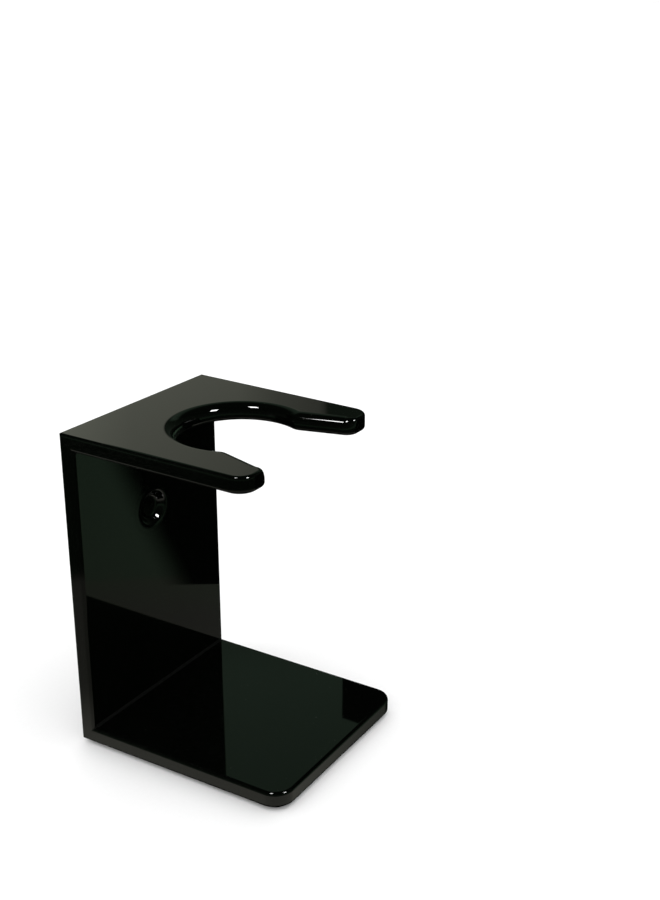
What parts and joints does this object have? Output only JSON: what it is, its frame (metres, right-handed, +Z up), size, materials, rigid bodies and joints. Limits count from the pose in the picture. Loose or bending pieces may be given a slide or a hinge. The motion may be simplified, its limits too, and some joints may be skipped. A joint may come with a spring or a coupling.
{
  "type": "razor stand",
  "caption": "Free-standing C-shaped stand with a keyhole slot in its top plate, open to the front, that a razor or shaving brush hangs in.",
  "frame": {"origin": "on the surface that the stand rests on, below the middle of its bounding box", "axes": "+Z up, -Y towards the open front of the slot, +X to the right seen from the front"},
  "size_m": [0.062, 0.072, 0.099],
  "materials": {
    "gloss_black": "polished gloss black",
    "cement": "cured black cement, gloss",
    "pad_rubber": "matte"
  },
  "bodies": {
    "root": {"base_plate": "gloss_black", "back_plate": "gloss_black", "top_plate": "gloss_black", "base_cement_fillet": "cement", "top_cement_fillet": "cement", "foot_pad_front_left": "pad_rubber", "foot_pad_rear_left": "pad_rubber", "foot_pad_front_right": "pad_rubber", "foot_pad_rear_right": "pad_rubber"}
  },
  "joints": []
}
